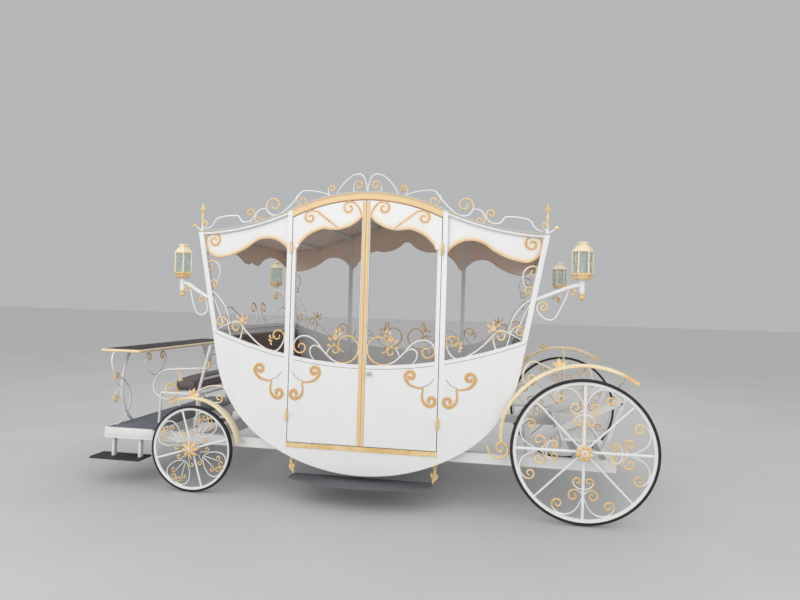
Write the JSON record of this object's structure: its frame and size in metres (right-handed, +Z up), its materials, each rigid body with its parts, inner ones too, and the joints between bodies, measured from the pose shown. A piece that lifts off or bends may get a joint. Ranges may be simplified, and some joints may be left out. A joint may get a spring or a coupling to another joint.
{
  "type": "horse drawn carriage",
  "caption": "Ornate open-sided horse drawn carriage with a curved hull body, arched canopy, hinged side doors, scrollwork wheels and lanterns.",
  "frame": {"origin": "on the ground, midway between the front edge of the driver's step and the back of the rear wheels, on the centre plane", "axes": "+X forward, +Y to the carriage's left, the side with the doors, +Z up"},
  "size_m": [4.641, 2.3792, 2.637],
  "materials": {
    "black_rubber": "matt",
    "bulb_white": "satin",
    "dark_leather": "satin",
    "gold_paint": "satin gold enamel",
    "grey_wood": "weathered boards",
    "lantern_glass": "clear",
    "roof_paint": "satin enamel",
    "tyre": "solid rubber",
    "white_paint": "gloss enamel with grime in the joints"
  },
  "bodies": {
    "carriage": {"belt_rails": "white_paint", "bench_cushions": "dark_leather", "cabin_benches": "white_paint", "cabin_floor": "grey_wood", "cabin_posts": "white_paint", "chassis_crossmembers": "white_paint", "chassis_rails": "white_paint", "console_legs": "white_paint", "console_top": "black_rubber", "corner_finials": "gold_paint", "door_arch": "gold_paint", "door_hinges": "gold_paint", "door_sill": "gold_paint", "driver_deck": "grey_wood", "driver_seat_cushion": "grey_wood", "driver_seat_frame": "white_paint", "driver_step_legs": "white_paint", "driver_steps": "black_rubber", "end_valances": "white_paint", "front_axle": "white_paint", "front_mudguards": "white_paint", "hull_skin": "white_paint", "lantern_arms": "white_paint", "lantern_bulbs": "bulb_white", "lantern_frames": "white_paint", "lantern_glass": "lantern_glass", "pole_bracket": "white_paint", "quarter_valances_left": "white_paint", "rear_axle": "white_paint", "rear_mudguards": "white_paint", "rear_rack": "white_paint", "roof_cresting": "white_paint", "roof_ribs": "white_paint", "roof_sheet": "roof_paint", "side_panel_left": "white_paint", "side_panel_right": "white_paint", "side_step": "black_rubber", "side_step_brackets": "white_paint", "side_valance_right": "white_paint", "window_scrolls": "white_paint"},
    "door_front": {"door_front_leaf": "white_paint", "door_front_scroll": "white_paint", "door_front_strip": "gold_paint", "door_front_valance": "white_paint"},
    "door_rear": {"door_rear_handle": "gold_paint", "door_rear_leaf": "white_paint", "door_rear_scroll": "white_paint", "door_rear_strip": "gold_paint", "door_rear_valance": "white_paint"},
    "wheel_front_left": {"front_tyre_left": "tyre", "front_wheel_left": "white_paint"},
    "wheel_front_right": {"front_tyre_right": "tyre", "front_wheel_right": "white_paint"},
    "wheel_rear_left": {"rear_tyre_left": "tyre", "rear_wheel_left": "white_paint"},
    "wheel_rear_right": {"rear_tyre_right": "tyre", "rear_wheel_right": "white_paint"}
  },
  "joints": [
    {"name": "door_front_hinge", "type": "hinge", "parent": "carriage", "child": "door_front", "pos_m": [0.5445, 1.04, 1.3], "axis": [0, 0, -1], "range_deg": [0, 100]},
    {"name": "door_rear_hinge", "type": "hinge", "parent": "carriage", "child": "door_rear", "pos_m": [-0.6795, 1.04, 1.3], "axis": [0, 0, 1], "range_deg": [0, 100]},
    {"name": "wheel_front_left_spin", "type": "hinge", "parent": "carriage", "child": "wheel_front_left", "pos_m": [1.3535, 1.045, 0.356], "axis": [0, 1, 0], "continuous": true},
    {"name": "wheel_front_right_spin", "type": "hinge", "parent": "carriage", "child": "wheel_front_right", "pos_m": [1.3535, -1.045, 0.356], "axis": [0, 1, 0], "continuous": true},
    {"name": "wheel_rear_left_spin", "type": "hinge", "parent": "carriage", "child": "wheel_rear_left", "pos_m": [-1.7775, 1.07, 0.545], "axis": [0, 1, 0], "continuous": true},
    {"name": "wheel_rear_right_spin", "type": "hinge", "parent": "carriage", "child": "wheel_rear_right", "pos_m": [-1.7775, -1.07, 0.545], "axis": [0, 1, 0], "continuous": true}
  ]
}
